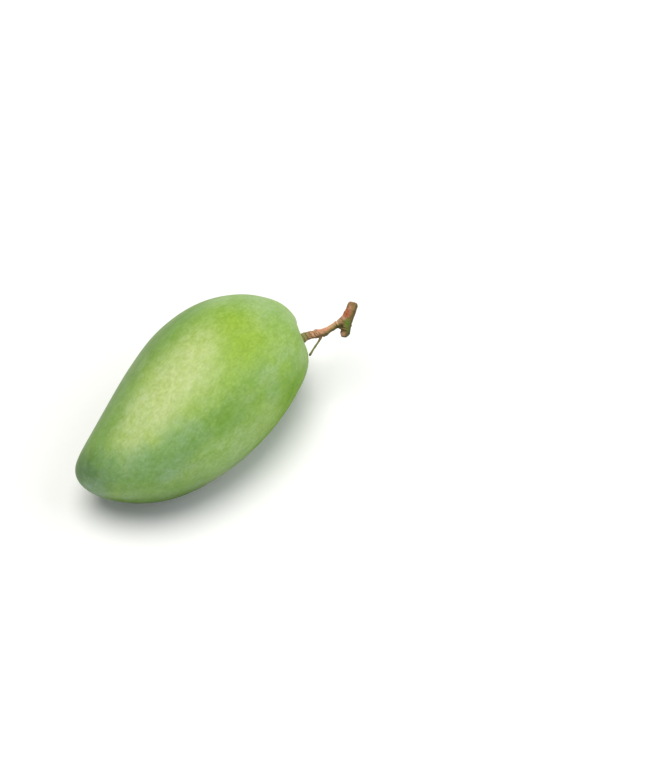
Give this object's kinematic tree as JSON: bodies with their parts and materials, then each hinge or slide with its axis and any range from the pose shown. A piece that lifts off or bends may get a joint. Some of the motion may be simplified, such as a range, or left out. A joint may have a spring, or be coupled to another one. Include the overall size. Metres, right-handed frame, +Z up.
{
  "type": "mango",
  "caption": "Whole green mango with a hooked beak, lying on its cheek, with its short picked stem, branch stub and a thin dry side twig.",
  "frame": {"origin": "centre of the small flat that the fruit rests on, on the surface below it", "axes": "+X along the fruit towards the stem end, +Y to the side that the beak hooks towards, +Z up"},
  "size_m": [0.1565, 0.0768, 0.068],
  "materials": {
    "skin": "green waxy skin with pale bloom and fine dots",
    "bark": "pinkish brown bark, matte, with green and grey patches",
    "dry_twig": "olive brown dry stalk, matte"
  },
  "bodies": {
    "root": {"fruit": "skin", "stem": "bark", "side_twig": "dry_twig"}
  },
  "joints": []
}
